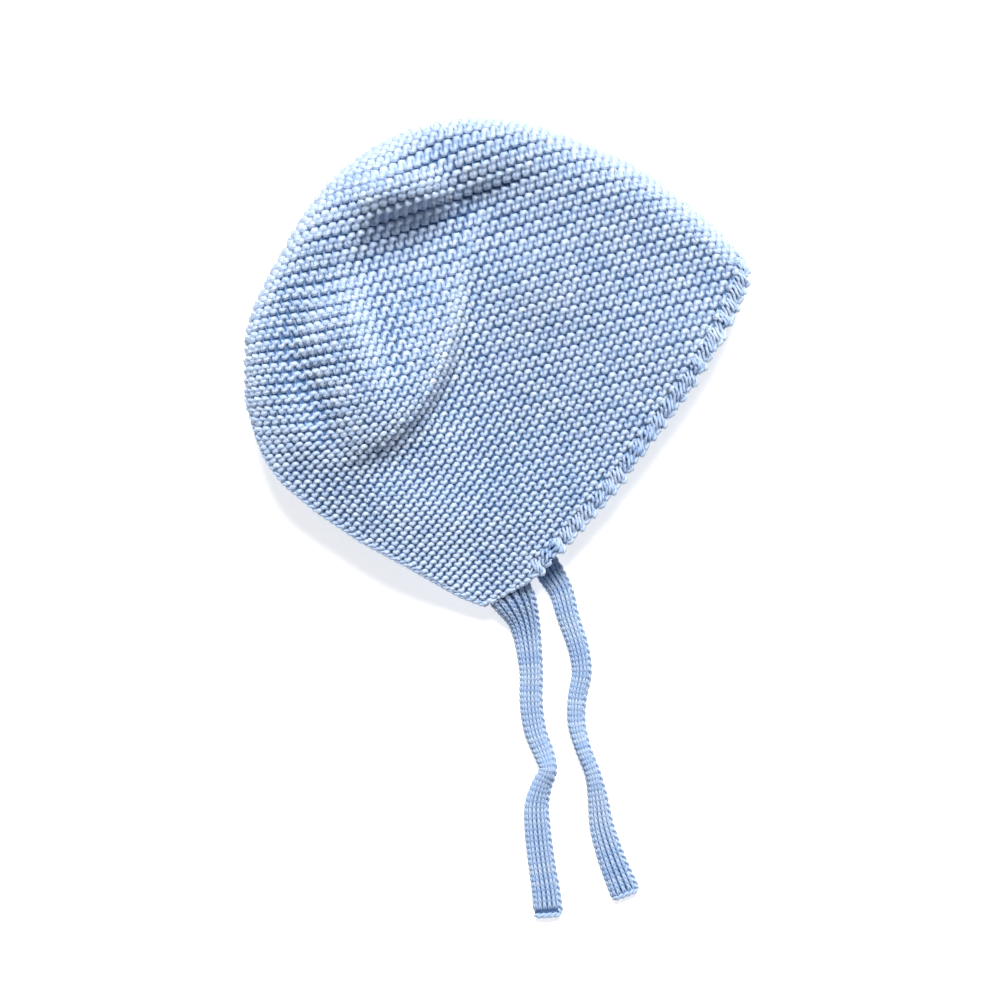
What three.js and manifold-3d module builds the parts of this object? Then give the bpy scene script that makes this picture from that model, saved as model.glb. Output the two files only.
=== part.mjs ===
// Knitted baby bonnet lying on its side: the far side on the floor, the near side on top,
// both joined along the fold over the top and back of the head. Millimetres, +Z up, +Y towards
// the top of the crown fold, origin at the middle of the footprint on the floor.
import * as THREE from "three";
import { mergeVertices } from "three/addons/utils/BufferGeometryUtils.js";
import Module from "manifold-3d";

const wasm = await Module();
wasm.setup();

// Driving sizes, in millimetres.
const SPAN = 192.75;
const LOFT = 45;
const WALL = 3;
const BAND = 5.6;
const GAP = 0.3;
const TIE_THICK = 4.2;
const RAYS = 88;

// Fold outline seen from above, going round from the nape over the crown to the forehead and on
// past the two openings, where the cuts take it away. x, y: shares of SPAN. roll: plan depth of
// the rounded fold there, share of SPAN. hip: height of its widest line, share of LOFT.
const OUTLINE = [
  { x: -0.494, y: 0.282, roll: 0.1, hip: 0.34 },
  { x: -0.487, y: 0.379, roll: 0.1, hip: 0.36 },
  { x: -0.457, y: 0.452, roll: 0.1, hip: 0.38 },
  { x: -0.418, y: 0.522, roll: 0.1, hip: 0.4 },
  { x: -0.377, y: 0.592, roll: 0.1, hip: 0.42 },
  { x: -0.325, y: 0.657, roll: 0.1, hip: 0.44 },
  { x: -0.256, y: 0.712, roll: 0.1, hip: 0.44 },
  { x: -0.165, y: 0.758, roll: 0.1, hip: 0.44 },
  { x: -0.052, y: 0.779, roll: 0.1, hip: 0.42 },
  { x: 0.048, y: 0.772, roll: 0.095, hip: 0.38 },
  { x: 0.112, y: 0.753, roll: 0.09, hip: 0.34 },
  { x: 0.198, y: 0.72, roll: 0.085, hip: 0.3 },
  { x: 0.29, y: 0.675, roll: 0.075, hip: 0.26 },
  { x: 0.376, y: 0.61, roll: 0.06, hip: 0.22 },
  { x: 0.44, y: 0.555, roll: 0.045, hip: 0.18 },
  { x: 0.503, y: 0.486, roll: 0.035, hip: 0.15 },
  { x: 0.575, y: 0.39, roll: 0.035, hip: 0.14 },
  { x: 0.6, y: 0.27, roll: 0.035, hip: 0.14 },
  { x: 0.56, y: 0.13, roll: 0.035, hip: 0.13 },
  { x: 0.47, y: -0.02, roll: 0.035, hip: 0.12 },
  { x: 0.35, y: -0.16, roll: 0.03, hip: 0.1 },
  { x: 0.2, y: -0.27, roll: 0.03, hip: 0.1 },
  { x: 0.03, y: -0.32, roll: 0.03, hip: 0.1 },
  { x: -0.14, y: -0.3, roll: 0.035, hip: 0.12 },
  { x: -0.29, y: -0.21, roll: 0.045, hip: 0.16 },
  { x: -0.4, y: -0.08, roll: 0.06, hip: 0.22 },
  { x: -0.46, y: 0.05, roll: 0.075, hip: 0.27 },
  { x: -0.487, y: 0.17, roll: 0.09, hip: 0.31 },
];

// Height of the near side over the floor. x, y: shares of SPAN. height: share of LOFT.
const LEVELS = [
  { x: -0.385, y: 0.573, height: 0.578 },
  { x: -0.327, y: 0.651, height: 0.568 },
  { x: -0.191, y: 0.748, height: 0.787 },
  { x: -0.054, y: 0.758, height: 0.641 },
  { x: 0.082, y: 0.738, height: 0.632 },
  { x: 0.198, y: 0.67, height: 0.581 },
  { x: 0.354, y: 0.573, height: 0.5 },
  { x: 0.451, y: 0.482, height: 0.38 },
  { x: 0.393, y: 0.339, height: 0.493 },
  { x: 0.296, y: 0.194, height: 0.43 },
  { x: 0.198, y: 0.057, height: 0.403 },
  { x: 0.082, y: -0.059, height: 0.359 },
  { x: -0.035, y: -0.118, height: 0.197 },
  { x: -0.152, y: -0.05, height: 0.461 },
  { x: -0.298, y: 0.038, height: 0.369 },
  { x: -0.405, y: 0.135, height: 0.519 },
  { x: -0.467, y: 0.33, height: 0.589 },
  { x: -0.327, y: 0.369, height: 0.566 },
  { x: -0.346, y: 0.485, height: 0.586 },
  { x: -0.191, y: 0.641, height: 0.703 },
  { x: -0.171, y: 0.485, height: 0.535 },
  { x: -0.171, y: 0.369, height: 0.522 },
  { x: -0.191, y: 0.232, height: 0.573 },
  { x: -0.074, y: 0.524, height: 0.487 },
  { x: -0.054, y: 0.369, height: 0.452 },
  { x: -0.035, y: 0.232, height: 0.401 },
  { x: -0.132, y: 0.096, height: 0.644 },
  { x: 0.023, y: 0.602, height: 0.478 },
  { x: 0.121, y: 0.485, height: 0.579 },
  { x: 0.121, y: 0.31, height: 0.434 },
  { x: 0.043, y: 0.135, height: 0.332 },
  { x: 0.237, y: 0.427, height: 0.466 },
  { x: -0.249, y: 0.125, height: 0.826 },
];
const LEVEL_REACH = 0.075;

// Folds and dents of the near side. Each runs from a to c, its line bowed sideways by bend in the
// middle (to the left seen from a). rise: share of LOFT, negative for a dent. left, right: half
// widths either side of the line. All plan lengths are shares of SPAN.
const FOLDS = [
  { name: "crown roll", ax: -0.281, ay: 0.613, cx: -0.078, cy: 0.622,
    bend: 0.017, rise: 0.11, left: 0.044, right: 0.049 },
  { name: "hollow under the roll", ax: -0.304, ay: 0.427, cx: 0.018, cy: 0.615,
    bend: 0.037, rise: -0.09, left: 0.037, right: 0.078 },
  { name: "groove across the roll", ax: -0.186, ay: 0.735, cx: -0.124, cy: 0.601,
    bend: 0.008, rise: -0.141, left: 0.039, right: 0.044 },
  { name: "inner crest", ax: -0.323, ay: 0.473, cx: -0.223, cy: 0.198,
    bend: -0.001, rise: 0.15, left: 0.049, right: 0.059 },
  { name: "valley between crests", ax: -0.415, ay: 0.418, cx: -0.301, cy: 0.118,
    bend: -0.013, rise: -0.145, left: 0.041, right: 0.041 },
  { name: "outer crest", ax: -0.393, ay: 0.402, cx: -0.36, cy: 0.115,
    bend: 0.013, rise: 0.146, left: 0.063, right: 0.051 },
  { name: "rim of the dent", ax: -0.079, ay: 0.458, cx: -0.295, cy: 0.088,
    bend: 0.054, rise: 0.088, left: 0.039, right: 0.065 },
  { name: "east lip of the hollow", ax: -0.007, ay: 0.621, cx: -0.086, cy: 0.335,
    bend: -0.022, rise: 0.037, left: 0.028, right: 0.023 },
  { name: "slope under the inner crest", ax: -0.286, ay: 0.155, cx: 0.017, cy: 0.03,
    bend: -0.001, rise: -0.103, left: 0.096, right: 0.064 },
];

// Free edges, near side and far side, shares of SPAN, and the height of the near one, share of LOFT. The face edge runs from the forehead to
// the chin, the neck edge from the chin to the nape, and the tie is worked on between them.
const FACE_EDGE = [
  { x: 0.568, y: 0.622, farX: 0.56, farY: 0.622, height: 0.5 },
  { x: 0.502, y: 0.489, farX: 0.482, farY: 0.493, height: 0.4 },
  { x: 0.449, y: 0.373, farX: 0.422, farY: 0.38, height: 0.42 },
  { x: 0.383, y: 0.264, farX: 0.348, farY: 0.279, height: 0.41 },
  { x: 0.304, y: 0.155, farX: 0.268, farY: 0.174, height: 0.39 },
  { x: 0.222, y: 0.046, farX: 0.195, farY: 0.073, height: 0.34 },
  { x: 0.123, y: -0.063, farX: 0.134, farY: -0.028, height: 0.27 },
  { x: 0.082, y: -0.108, farX: 0.101, farY: -0.054, height: 0.25 },
];
const CHIN_EDGE = [
  { x: 0.064, y: -0.118, farX: 0.101, farY: -0.063, height: 0.24 },
  { x: 0.021, y: -0.141, farX: 0.054, farY: -0.067, height: 0.23 },
  { x: -0.021, y: -0.166, farX: 0.006, farY: -0.065, height: 0.23 },
];
const NECK_EDGE = [
  { x: -0.07, y: -0.147, farX: -0.047, farY: -0.042, height: 0.25 },
  { x: -0.165, y: -0.092, farX: -0.146, farY: -0.011, height: 0.3 },
  { x: -0.267, y: -0.038, farX: -0.251, farY: 0.017, height: 0.36 },
  { x: -0.348, y: 0.017, farX: -0.337, farY: 0.052, height: 0.42 },
  { x: -0.411, y: 0.071, farX: -0.403, farY: 0.09, height: 0.46 },
  { x: -0.457, y: 0.125, farX: -0.449, farY: 0.137, height: 0.5 },
  { x: -0.484, y: 0.174, farX: -0.477, farY: 0.182, height: 0.5 },
  { x: -0.531, y: 0.271, farX: -0.531, farY: 0.271, height: 0.5 },
];

// Ties, from the root at the chin to the bound-off end. x, y: shares of SPAN. wide: share of
// SPAN. lift: underside over the floor, share of LOFT. The underside lies flat where lift is 0.
const TIE_NEAR = [
  { x: 0.0223, y: -0.1426, wide: 0.096, lift: 0.13 },
  { x: 0.0368, y: -0.1681, wide: 0.084, lift: 0.09 },
  { x: 0.05, y: -0.2, wide: 0.065, lift: 0.03 },
  { x: 0.058, y: -0.24, wide: 0.055, lift: 0 },
  { x: 0.064, y: -0.3, wide: 0.048, lift: 0 },
  { x: 0.064, y: -0.36, wide: 0.047, lift: 0 },
  { x: 0.072, y: -0.415, wide: 0.046, lift: 0 },
  { x: 0.089, y: -0.46, wide: 0.042, lift: 0.02 },
  { x: 0.097, y: -0.49, wide: 0.036, lift: 0.05 },
  { x: 0.085, y: -0.52, wide: 0.042, lift: 0.02 },
  { x: 0.075, y: -0.56, wide: 0.05, lift: 0 },
  { x: 0.077, y: -0.61, wide: 0.054, lift: 0 },
  { x: 0.084, y: -0.67, wide: 0.055, lift: 0 },
  { x: 0.094, y: -0.735, wide: 0.058, lift: 0 },
  { x: 0.098, y: -0.781, wide: 0.062, lift: 0 },
];
const TIE_FAR = [
  { x: 0.09, y: -0.084, wide: 0.06, lift: 0 },
  { x: 0.103, y: -0.108, wide: 0.056, lift: 0 },
  { x: 0.122, y: -0.14, wide: 0.05, lift: 0 },
  { x: 0.136, y: -0.19, wide: 0.046, lift: 0 },
  { x: 0.157, y: -0.255, wide: 0.043, lift: 0 },
  { x: 0.163, y: -0.3, wide: 0.041, lift: 0 },
  { x: 0.154, y: -0.35, wide: 0.039, lift: 0 },
  { x: 0.153, y: -0.4, wide: 0.037, lift: 0.01 },
  { x: 0.166, y: -0.45, wide: 0.033, lift: 0.03 },
  { x: 0.185, y: -0.5, wide: 0.033, lift: 0.03 },
  { x: 0.195, y: -0.55, wide: 0.042, lift: 0.01 },
  { x: 0.202, y: -0.6, wide: 0.05, lift: 0 },
  { x: 0.22, y: -0.66, wide: 0.056, lift: 0 },
  { x: 0.252, y: -0.74, wide: 0.062, lift: 0 },
];

const clamp = (v, lo, hi) => Math.min(hi, Math.max(lo, v));
const smooth = (a, b, v) => {
  const t = clamp((v - a) / (b - a), 0, 1);
  return t * t * (3 - 2 * t);
};

// The outline as evenly turned rays from a middle point inside the bonnet.
const MIDDLE = { x: 0.0, y: 0.27 };
const CROWD = { turn: 2.3, by: 0.35 };
const outlineCurve = new THREE.CatmullRomCurve3(
  OUTLINE.map((p) => new THREE.Vector3(p.x, p.y, 0)), true, "centripetal");
const rollCurve = new THREE.CatmullRomCurve3(
  OUTLINE.map((p) => new THREE.Vector3(p.roll, p.hip, 0)), true, "centripetal");
const rim = [];
for (let i = 0; i < 1400; i += 1) {
  const p = outlineCurve.getPoint(i / 1400);
  const q = rollCurve.getPoint(i / 1400);
  const turn = Math.atan2(p.y - MIDDLE.y, p.x - MIDDLE.x);
  const far = Math.hypot(p.x - MIDDLE.x, p.y - MIDDLE.y);
  rim.push({ turn, far, roll: q.x, hip: q.y });
}
rim.sort((a, b) => a.turn - b.turn);

function rimAt(turn) {
  let lo = 0;
  let hi = rim.length - 1;
  if (turn <= rim[0].turn || turn >= rim[hi].turn) {
    return rim[0];
  }
  while (hi - lo > 1) {
    const mid = (lo + hi) >> 1;
    if (rim[mid].turn <= turn) {
      lo = mid;
    } else {
      hi = mid;
    }
  }
  const t = (turn - rim[lo].turn) / (rim[hi].turn - rim[lo].turn);
  const mix = (k) => rim[lo][k] * (1 - t) + rim[hi][k] * t;
  return { far: mix("far"), roll: mix("roll"), hip: mix("hip") };
}

function foldRise(f, x, y) {
  const long = Math.hypot(f.cx - f.ax, f.cy - f.ay);
  const ux = (f.cx - f.ax) / long;
  const uy = (f.cy - f.ay) / long;
  const along = ((x - f.ax) * ux + (y - f.ay) * uy) / long;
  const bow = f.bend * (1 - (2 * along - 1) ** 2);
  const off = (y - f.ay) * ux - (x - f.ax) * uy - bow;
  const width = off > 0 ? f.left : f.right;
  return f.rise * Math.exp(-(((along - 0.5) / 0.42) ** 4) - (off / width) ** 2);
}

// Height of the near side over the floor at a plan position, share of LOFT.
function nearHeight(x, y) {
  let sum = 0;
  let weight = 0;
  for (const p of LEVELS) {
    const d2 = (x - p.x) ** 2 + (y - p.y) ** 2;
    const w = Math.exp(-d2 / (2 * LEVEL_REACH ** 2)) + 1e-9;
    sum += w * p.height;
    weight += w;
  }
  let h = sum / weight;
  for (const f of FOLDS) {
    h += foldRise(f, x, y);
  }
  return h;
}

// Stations from the middle of the far side, out over its fold and back to the middle of the
// near side. part: which stretch. share: how far along it.
const STATIONS = [];
for (const share of [0.3, 0.65, 1]) {
  STATIONS.push({ part: "floor", share });
}
for (const share of [0.35, 0.7, 1]) {
  STATIONS.push({ part: "under", share });
}
for (const share of [0.2, 0.4, 0.6, 0.8, 1]) {
  STATIONS.push({ part: "over", share });
}
for (let i = 1; i <= 16; i += 1) {
  STATIONS.push({ part: "top", share: i / 17 });
}

// Rays stand closer together where the crown is folded.
function rayTurn(i) {
  const even = (2 * Math.PI * i) / RAYS;
  const turn = even - CROWD.by * Math.sin(even - CROWD.turn);
  return turn > Math.PI ? turn - 2 * Math.PI : turn;
}

function stationPoint(turn, station) {
  const r = rimAt(turn);
  const low = r.roll * 0.6;
  const a = (station.share * Math.PI) / 2;
  let far = r.far;
  let z = 0;
  if (station.part === "floor") {
    far = (r.far - low) * station.share;
  } else if (station.part === "under") {
    far = r.far - low * (1 - Math.sin(a));
    z = r.hip * (1 - Math.cos(a));
  } else if (station.part === "over") {
    far = r.far - r.roll * (1 - Math.cos(a));
  } else {
    far = (r.far - r.roll) * (1 - station.share);
  }
  const x = MIDDLE.x + far * Math.cos(turn);
  const y = MIDDLE.y + far * Math.sin(turn);
  if (station.part === "over") {
    z = r.hip + (nearHeight(x, y) - r.hip) * Math.sin(a);
  }
  if (station.part === "top") {
    z = nearHeight(x, y);
  }
  return new THREE.Vector3(x * SPAN, y * SPAN, z * LOFT);
}

// Closed surface of the stuffed shape. inset: how far inside the outer face it runs.
function pillow(inset) {
  const rows = STATIONS.map((s) => {
    const row = [];
    for (let i = 0; i < RAYS; i += 1) {
      row.push(stationPoint(rayTurn(i), s));
    }
    return row;
  });
  const low = new THREE.Vector3(MIDDLE.x * SPAN, MIDDLE.y * SPAN, 0);
  const high = low.clone().setZ(nearHeight(MIDDLE.x, MIDDLE.y) * LOFT);
  const points = [low, high, ...rows.flat()];
  const at = (row, i) => 2 + row * RAYS + (i % RAYS);
  const faces = [];
  for (let i = 0; i < RAYS; i += 1) {
    faces.push(0, at(0, i + 1), at(0, i));
    faces.push(1, at(rows.length - 1, i), at(rows.length - 1, i + 1));
    for (let j = 0; j + 1 < rows.length; j += 1) {
      faces.push(at(j, i), at(j, i + 1), at(j + 1, i + 1));
      faces.push(at(j, i), at(j + 1, i + 1), at(j + 1, i));
    }
  }
  const g = new THREE.BufferGeometry();
  g.setAttribute("position", new THREE.Float32BufferAttribute(points.flatMap((p) => p.toArray()), 3));
  g.setIndex(faces);
  g.computeVertexNormals();
  const normal = g.getAttribute("normal");
  points.forEach((p, i) => {
    p.x -= inset * normal.getX(i);
    p.y -= inset * normal.getY(i);
    p.z -= inset * normal.getZ(i);
  });
  g.setAttribute("position", new THREE.Float32BufferAttribute(points.flatMap((p) => p.toArray()), 3));
  return g;
}

// The face edge drawn back into the cloth by so many millimetres, or out of it if negative.
function faceLine(back) {
  const s = back / SPAN;
  return FACE_EDGE.map((p, i) => {
    const a = FACE_EDGE[Math.max(0, i - 1)];
    const b = FACE_EDGE[Math.min(FACE_EDGE.length - 1, i + 1)];
    const len = Math.hypot(b.x - a.x, b.y - a.y);
    const nx = ((b.y - a.y) / len) * s;
    const ny = (-(b.x - a.x) / len) * s;
    return { ...p, x: p.x + nx, y: p.y + ny, farX: p.farX + nx, farY: p.farY + ny };
  });
}

const BEYOND = [
  { x: -0.7, y: 0.3, farX: -0.7, farY: 0.3, height: 0.5 },
  { x: -0.5, y: 0.9, farX: -0.5, farY: 0.9, height: 0.5 },
  { x: 0.3, y: 0.95, farX: 0.3, farY: 0.95, height: 0.5 },
  { x: 0.55, y: 0.7, farX: 0.55, farY: 0.7, height: 0.5 },
];

// Upright block over a closed line of edge points, its side walls running from the far-side
// edge on the floor up to the near-side edge at its own height, and upright above that.
function trimBlock(loop) {
  const low = -2;
  const high = LOFT * 1.6;
  const levels = [low, 0, 1, high];
  const n = loop.length;
  const points = [];
  levels.forEach((z, k) => {
    for (const p of loop) {
      const near = k > 1;
      const height = k === 2 ? p.height * LOFT : z;
      points.push((near ? p.x : p.farX) * SPAN, (near ? p.y : p.farY) * SPAN, height);
    }
  });
  const faces = [];
  const area = THREE.ShapeUtils.area(loop.map((p) => new THREE.Vector2(p.x, p.y)));
  for (let k = 0; k + 1 < levels.length; k += 1) {
    for (let i = 0; i < n; i += 1) {
      const a = k * n + i;
      const b = k * n + ((i + 1) % n);
      faces.push(a, b, b + n, a, b + n, a + n);
    }
  }
  const cap = (k, up) => {
    const flat = loop.map((p, i) => new THREE.Vector2(points[(k * n + i) * 3], points[(k * n + i) * 3 + 1]));
    for (const [a, b, c] of THREE.ShapeUtils.triangulateShape(flat, [])) {
      const turned = THREE.ShapeUtils.area([flat[a], flat[b], flat[c]]) > 0;
      if (turned === up) {
        faces.push(k * n + a, k * n + b, k * n + c);
      } else {
        faces.push(k * n + a, k * n + c, k * n + b);
      }
    }
  };
  cap(0, false);
  cap(levels.length - 1, true);
  if (area < 0) {
    for (let i = 0; i < (levels.length - 1) * n * 6; i += 3) {
      [faces[i + 1], faces[i + 2]] = [faces[i + 2], faces[i + 1]];
    }
  }
  const g = new THREE.BufferGeometry();
  g.setAttribute("position", new THREE.Float32BufferAttribute(points, 3));
  g.setIndex(faces);
  return g;
}

// One tie: a flat strap with a flat underside and a rounded back.
function tie(rows) {
  const path = new THREE.CatmullRomCurve3(
    rows.map((r) => new THREE.Vector3(r.x * SPAN, r.y * SPAN, r.lift * LOFT)), false, "centripetal");
  const shape = new THREE.CatmullRomCurve3(
    rows.map((r) => new THREE.Vector3(r.wide * SPAN, 0, 0)), false, "centripetal");
  const count = 34;
  const round = [
    [-0.5, 0.3], [-0.46, 0], [0, 0], [0.46, 0], [0.5, 0.3],
    [0.44, 0.72], [0.24, 1], [-0.24, 1], [-0.44, 0.72],
  ];
  const points = [];
  for (let i = 0; i <= count; i += 1) {
    const t = i / count;
    const p = path.getPoint(t);
    const d = path.getTangent(t);
    const flat = Math.hypot(d.x, d.y);
    const nx = -d.y / flat;
    const ny = d.x / flat;
    const w = shape.getPoint(t).x;
    for (const [u, v] of round) {
      points.push(p.x + nx * u * w, p.y + ny * u * w, Math.max(0, p.z) + v * TIE_THICK);
    }
  }
  const n = round.length;
  const faces = [];
  for (let i = 0; i < count; i += 1) {
    for (let k = 0; k < n; k += 1) {
      const a = i * n + k;
      const b = i * n + ((k + 1) % n);
      faces.push(a, b, b + n, a, b + n, a + n);
    }
  }
  for (let k = 1; k + 1 < n; k += 1) {
    faces.push(0, k + 1, k);
    faces.push(count * n, count * n + k, count * n + k + 1);
  }
  const g = new THREE.BufferGeometry();
  g.setAttribute("position", new THREE.Float32BufferAttribute(points, 3));
  g.setIndex(faces);
  return g;
}

function solid(geometry) {
  const g = geometry.clone();
  g.deleteAttribute("normal");
  g.deleteAttribute("uv");
  const m = mergeVertices(g, 1e-4);
  const made = new wasm.Manifold(new wasm.Mesh({
    numProp: 3,
    vertProperties: m.getAttribute("position").array,
    triVerts: new Uint32Array(m.getIndex().array),
  }));
  return made;
}

function meshOf(name, made, colour) {
  const m = made.getMesh();
  const g = new THREE.BufferGeometry();
  g.setAttribute("position", new THREE.BufferAttribute(new Float32Array(m.vertProperties), 3));
  g.setIndex(new THREE.BufferAttribute(new Uint32Array(m.triVerts), 1));
  g.computeVertexNormals();
  const material = new THREE.MeshStandardMaterial({ color: colour, roughness: 0.9, metalness: 0 });
  const mesh = new THREE.Mesh(g, material);
  mesh.name = name;
  return mesh;
}

const cloth = solid(pillow(0)).subtract(solid(pillow(WALL)));
const ahead = 12;
const whole = cloth.intersect(solid(trimBlock([...faceLine(0), ...CHIN_EDGE, ...NECK_EDGE, ...BEYOND])));
const strip = (deep) => solid(trimBlock([...faceLine(-ahead), ...faceLine(deep).reverse()]));
const shell = whole.subtract(strip(BAND + GAP));
const band = whole.intersect(strip(BAND));

const bonnet = new THREE.Group();
bonnet.add(meshOf("shell", shell, "#a9c4ec"));
bonnet.add(meshOf("face_band", band, "#9fbdea"));
bonnet.add(meshOf("tie_near", solid(tie(TIE_NEAR)), "#a3c0ee"));
bonnet.add(meshOf("tie_far", solid(tie(TIE_FAR)), "#a3c0ee"));

// The origin goes to the middle of the footprint.
const box = new THREE.Box3().setFromObject(bonnet);
const middle = box.getCenter(new THREE.Vector3());
for (const mesh of bonnet.children) {
  mesh.geometry.translate(-middle.x, -middle.y, -box.min.z);
}

export default bonnet;
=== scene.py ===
"""Looks of a knitted baby bonnet that lies on its side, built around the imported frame."""

import math

import bmesh
import bpy
import numpy as np
from bpy.props import FloatProperty, FloatVectorProperty, PointerProperty
from mathutils import Matrix


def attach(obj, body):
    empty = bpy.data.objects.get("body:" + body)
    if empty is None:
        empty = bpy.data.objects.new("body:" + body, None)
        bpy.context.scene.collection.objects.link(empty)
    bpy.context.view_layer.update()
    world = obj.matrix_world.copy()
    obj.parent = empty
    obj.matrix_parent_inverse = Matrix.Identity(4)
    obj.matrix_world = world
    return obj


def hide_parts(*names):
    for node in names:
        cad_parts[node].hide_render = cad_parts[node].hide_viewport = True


bl_info = {
    "name": "Knitted bonnet",
    "version": (1, 0, 0),
    "blender": (4, 5, 0),
    "location": "View3D > Sidebar > Bonnet",
    "description": "Builds the knitting, edgings and ties of a baby bonnet over its frame",
    "category": "Object",
}

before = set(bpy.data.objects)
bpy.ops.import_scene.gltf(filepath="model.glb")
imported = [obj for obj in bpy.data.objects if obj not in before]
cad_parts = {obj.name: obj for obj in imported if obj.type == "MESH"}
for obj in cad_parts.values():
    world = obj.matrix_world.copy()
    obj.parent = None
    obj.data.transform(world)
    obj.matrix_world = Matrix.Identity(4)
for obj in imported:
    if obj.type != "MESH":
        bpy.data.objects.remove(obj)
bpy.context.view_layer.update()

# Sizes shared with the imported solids, in metres.
SPAN = 0.19275  # plan places are shares of it
LOFT = 0.045  # heights are shares of it
SHIFT = np.array([-0.000088, 0.000401, 0.0])  # from the plan's origin to the frame's
BAND = 0.0056  # width of the face edging
BAND_GAP = 0.0003  # between the edging and the rows that end at it
TIE_THICK = 0.0042
STITCH = 0.0038  # width of one stitch

MIDDLE = np.array([0.0, 0.27])  # the plan place that the fold runs round
PIXEL = 1 / 514.0  # one picture step as a share of SPAN
PICTURE_ORIGIN = (498, 519.5)  # picture place of the plan's origin
NEVER = 9.0  # a distance, in shares of SPAN, beyond every place of the cloth

# Fold outline seen from above: x, y and roll depth (shares of SPAN), height of its widest line
# (share of LOFT).
OUTLINE = np.array([
    (-0.494, 0.282, 0.1, 0.34), (-0.487, 0.379, 0.1, 0.36), (-0.457, 0.452, 0.1, 0.38),
    (-0.418, 0.522, 0.1, 0.4), (-0.377, 0.592, 0.1, 0.42), (-0.325, 0.657, 0.1, 0.44),
    (-0.256, 0.712, 0.1, 0.44), (-0.165, 0.758, 0.1, 0.44), (-0.052, 0.779, 0.1, 0.42),
    (0.048, 0.772, 0.095, 0.38), (0.112, 0.753, 0.09, 0.34), (0.198, 0.72, 0.085, 0.3),
    (0.29, 0.675, 0.075, 0.26), (0.376, 0.61, 0.06, 0.22), (0.44, 0.555, 0.045, 0.18),
    (0.503, 0.486, 0.035, 0.15), (0.575, 0.39, 0.035, 0.14), (0.6, 0.27, 0.035, 0.14),
    (0.56, 0.13, 0.035, 0.13), (0.47, -0.02, 0.035, 0.12), (0.35, -0.16, 0.03, 0.1),
    (0.2, -0.27, 0.03, 0.1), (0.03, -0.32, 0.03, 0.1), (-0.14, -0.3, 0.035, 0.12),
    (-0.29, -0.21, 0.045, 0.16), (-0.4, -0.08, 0.06, 0.22), (-0.46, 0.05, 0.075, 0.27),
    (-0.487, 0.17, 0.09, 0.31),
])

# Height of the near side: x, y (shares of SPAN), height (share of LOFT).
LEVELS = np.array([
    (-0.385, 0.573, 0.578), (-0.327, 0.651, 0.568), (-0.191, 0.748, 0.787), (-0.054, 0.758, 0.641),
    (0.082, 0.738, 0.632), (0.198, 0.67, 0.581), (0.354, 0.573, 0.5), (0.451, 0.482, 0.38),
    (0.393, 0.339, 0.493), (0.296, 0.194, 0.43), (0.198, 0.057, 0.403), (0.082, -0.059, 0.359),
    (-0.035, -0.118, 0.197), (-0.152, -0.05, 0.461), (-0.298, 0.038, 0.369),
    (-0.405, 0.135, 0.519), (-0.467, 0.33, 0.589), (-0.327, 0.369, 0.566), (-0.346, 0.485, 0.586),
    (-0.191, 0.641, 0.703), (-0.171, 0.485, 0.535), (-0.171, 0.369, 0.522), (-0.191, 0.232, 0.573),
    (-0.074, 0.524, 0.487), (-0.054, 0.369, 0.452), (-0.035, 0.232, 0.401), (-0.132, 0.096, 0.644),
    (0.023, 0.602, 0.478), (0.121, 0.485, 0.579), (0.121, 0.31, 0.434), (0.043, 0.135, 0.332),
    (0.237, 0.427, 0.466), (-0.249, 0.125, 0.826),
])
LEVEL_REACH = 0.075

# Folds and dents: from ax, ay to cx, cy, sideways bend, rise (share of LOFT), half widths to the
# left and right.
FOLDS = np.array([
    (-0.281, 0.613, -0.078, 0.622, 0.017, 0.095, 0.044, 0.053),  # crown roll
    (-0.304, 0.427, 0.018, 0.615, 0.037, -0.075, 0.042, 0.078),  # hollow under the roll
    (-0.143, 0.74, -0.075, 0.61, 0.008, -0.045, 0.045, 0.05),  # groove across the roll
    (-0.323, 0.473, -0.223, 0.198, -0.001, 0.15, 0.049, 0.059),  # inner crest
    (-0.415, 0.418, -0.301, 0.118, -0.013, -0.145, 0.041, 0.041),  # valley between crests
    (-0.393, 0.402, -0.36, 0.115, 0.013, 0.146, 0.063, 0.051),  # outer crest
    (-0.079, 0.458, -0.295, 0.088, 0.054, 0.088, 0.039, 0.065),  # rim of the dent
    (-0.007, 0.621, -0.086, 0.335, -0.022, 0.037, 0.028, 0.023),  # east lip of the hollow
    (-0.286, 0.155, 0.017, 0.03, -0.001, -0.103, 0.096, 0.064),  # slope under the inner crest
])
FOLD_DEPTH = 1.25  # depth of the yarn's folds over that of the shell's
FOLD_HALF = 0.42  # half the length of a fold, as a share of its line

# Free edges: near x, y, far x, y (shares of SPAN), height of the near one (share of LOFT).
FACE_EDGE = np.array([
    (0.568, 0.622, 0.56, 0.622, 0.5), (0.502, 0.489, 0.482, 0.493, 0.4),
    (0.449, 0.373, 0.422, 0.38, 0.42), (0.383, 0.264, 0.348, 0.279, 0.41),
    (0.304, 0.155, 0.268, 0.174, 0.39), (0.222, 0.046, 0.195, 0.073, 0.34),
    (0.123, -0.063, 0.134, -0.028, 0.27), (0.082, -0.108, 0.101, -0.054, 0.25),
])
CHIN_EDGE = np.array([
    (0.064, -0.118, 0.101, -0.063, 0.24), (0.021, -0.141, 0.054, -0.067, 0.23),
    (-0.021, -0.166, 0.006, -0.065, 0.23),
])
NECK_EDGE = np.array([
    (-0.07, -0.147, -0.047, -0.042, 0.25), (-0.165, -0.092, -0.146, -0.011, 0.3),
    (-0.267, -0.038, -0.251, 0.017, 0.36), (-0.348, 0.017, -0.337, 0.052, 0.42),
    (-0.411, 0.071, -0.403, 0.09, 0.46), (-0.457, 0.125, -0.449, 0.137, 0.5),
    (-0.484, 0.174, -0.477, 0.182, 0.5), (-0.531, 0.271, -0.531, 0.271, 0.5),
])

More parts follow.
